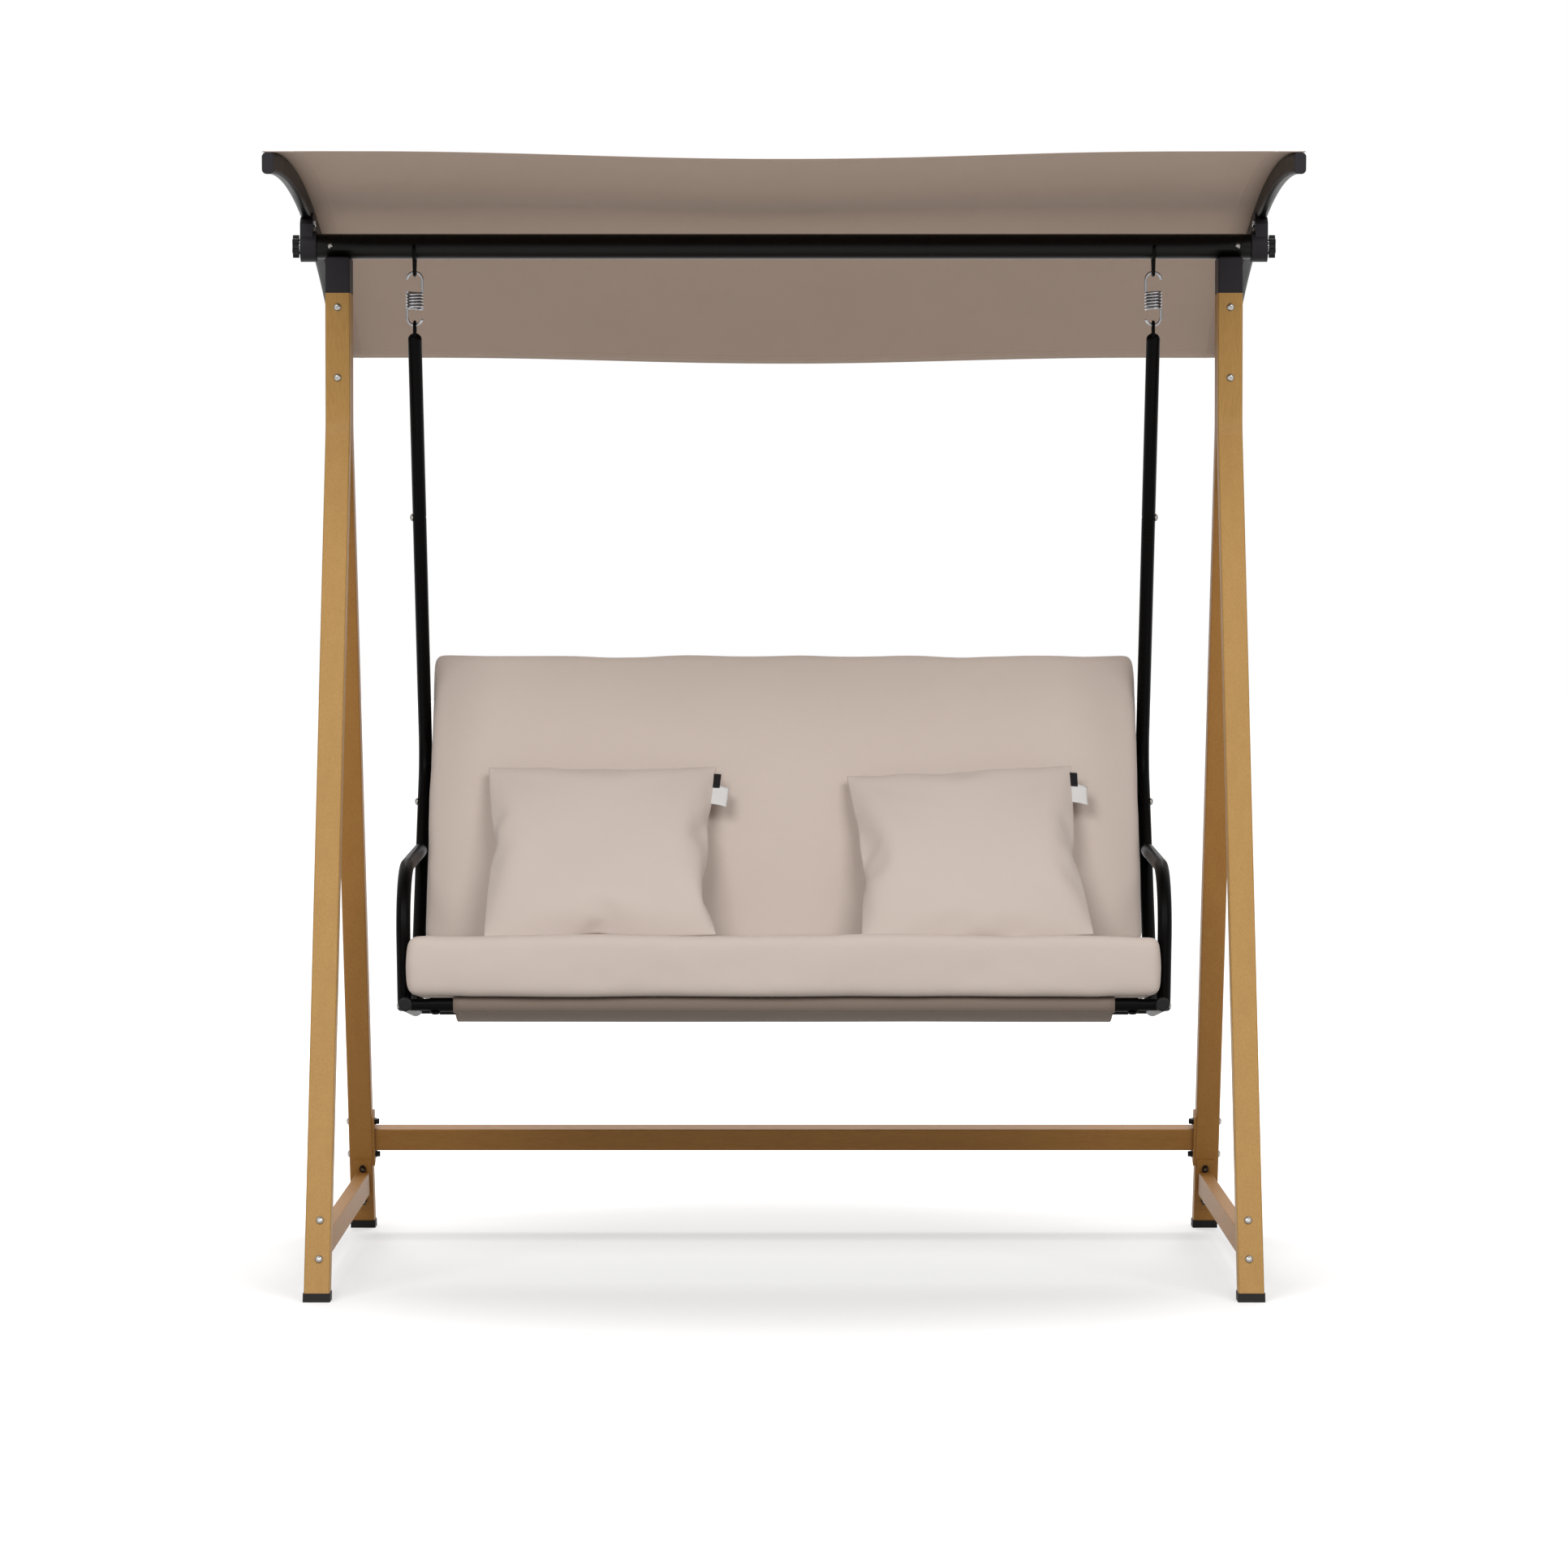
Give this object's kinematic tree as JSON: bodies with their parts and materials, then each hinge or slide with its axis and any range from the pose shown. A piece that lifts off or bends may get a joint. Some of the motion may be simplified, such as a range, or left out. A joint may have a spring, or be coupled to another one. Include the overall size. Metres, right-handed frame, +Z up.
{
  "type": "canopy swing bench",
  "caption": "Garden canopy swing bench: wood-look A-frame, sprung black seat frame with beige cushions and pillows, taupe tilting canopy.",
  "frame": {"origin": "on the floor, under the middle of the whole bench's bounding box", "axes": "+Z up; +X to the right seen from the front, the beam's long way and the symmetry direction; the front, where one sits down, faces -Y"},
  "size_m": [1.8054, 1.764, 2.0019],
  "materials": {
    "wood_look": "satin",
    "black_paint": "gloss",
    "dark_grey": "satin",
    "black_plastic": "satin",
    "rubber_black": "matte",
    "bolt_steel": "satin",
    "chrome": "polished",
    "canopy_cloth": "matte",
    "sling_cloth": "matte",
    "cushion_cloth": "matte",
    "pillow_cloth": "matte"
  },
  "bodies": {
    "stand": {"beam_plug_left": "black_plastic", "beam_plug_right": "black_plastic", "beam_screws": "bolt_steel", "frame_nuts": "black_plastic", "front_foot_cap_left": "rubber_black", "front_foot_cap_right": "rubber_black", "front_leg_left": "wood_look", "front_leg_right": "wood_look", "hanger_ring_left": "black_paint", "hanger_ring_right": "black_paint", "leg_bolts": "bolt_steel", "rear_foot_cap_left": "rubber_black", "rear_foot_cap_right": "rubber_black", "rear_leg_left": "wood_look", "rear_leg_right": "wood_look", "rear_stretcher": "wood_look", "saddle_bolts": "bolt_steel", "side_stretcher_left": "wood_look", "side_stretcher_right": "wood_look", "stretcher_bolts": "bolt_steel", "top_beam": "black_paint", "top_bracket_left": "dark_grey", "top_bracket_right": "dark_grey"},
    "springs": {"spring_left": "chrome", "spring_right": "chrome"},
    "seat": {"armrest_left": "black_paint", "armrest_right": "black_paint", "back_cushion": "cushion_cloth", "back_frame": "black_paint", "back_sling": "sling_cloth", "back_spacers": "black_paint", "frame_end_plugs": "black_plastic", "hanger_eye_left": "black_paint", "hanger_eye_right": "black_paint", "hanger_lower_left": "black_paint", "hanger_lower_right": "black_paint", "hanger_upper_left": "black_paint", "hanger_upper_right": "black_paint", "pillow_left": "pillow_cloth", "pillow_right": "pillow_cloth", "seat_bolts": "bolt_steel", "seat_cushion": "cushion_cloth", "seat_front_tube": "black_paint", "seat_nuts": "black_plastic", "seat_rear_tube": "black_paint", "seat_screws": "black_paint", "seat_sling": "sling_cloth", "side_frame_left": "black_paint", "side_frame_right": "black_paint"},
    "canopy": {"canopy_fabric": "canopy_cloth", "canopy_hub_left": "dark_grey", "canopy_hub_right": "dark_grey", "canopy_rail_left": "black_paint", "canopy_rail_right": "black_paint", "hub_bolts": "chrome", "rail_caps": "dark_grey"},
    "left_knob": {"knob_left": "black_plastic", "knob_stud_left": "chrome"},
    "right_knob": {"knob_right": "black_plastic", "knob_stud_right": "chrome"}
  },
  "joints": [
    {"name": "seat_swing", "type": "hinge", "parent": "stand", "child": "springs", "pos_m": [0, -0.044, 1.8258], "axis": [1, 0, 0], "range_deg": [-20, 20]},
    {"name": "seat_bounce", "type": "slide", "parent": "springs", "child": "seat", "axis": [0, 0, 1], "range_m": [-0.05, 0], "stiffness_N_per_m": 40000, "springref_m": 0.012, "deforming": ["spring_left", "spring_right"]},
    {"name": "canopy_tilt", "type": "hinge", "parent": "stand", "child": "canopy", "pos_m": [0, -0.044, 1.873], "axis": [1, 0, 0], "range_deg": [-20, 20]},
    {"name": "left_knob_turn", "type": "hinge", "parent": "stand", "child": "left_knob", "pos_m": [0, -0.044, 1.873], "axis": [1, 0, 0], "continuous": true},
    {"name": "right_knob_turn", "type": "hinge", "parent": "stand", "child": "right_knob", "pos_m": [0, -0.044, 1.873], "axis": [1, 0, 0], "continuous": true}
  ]
}
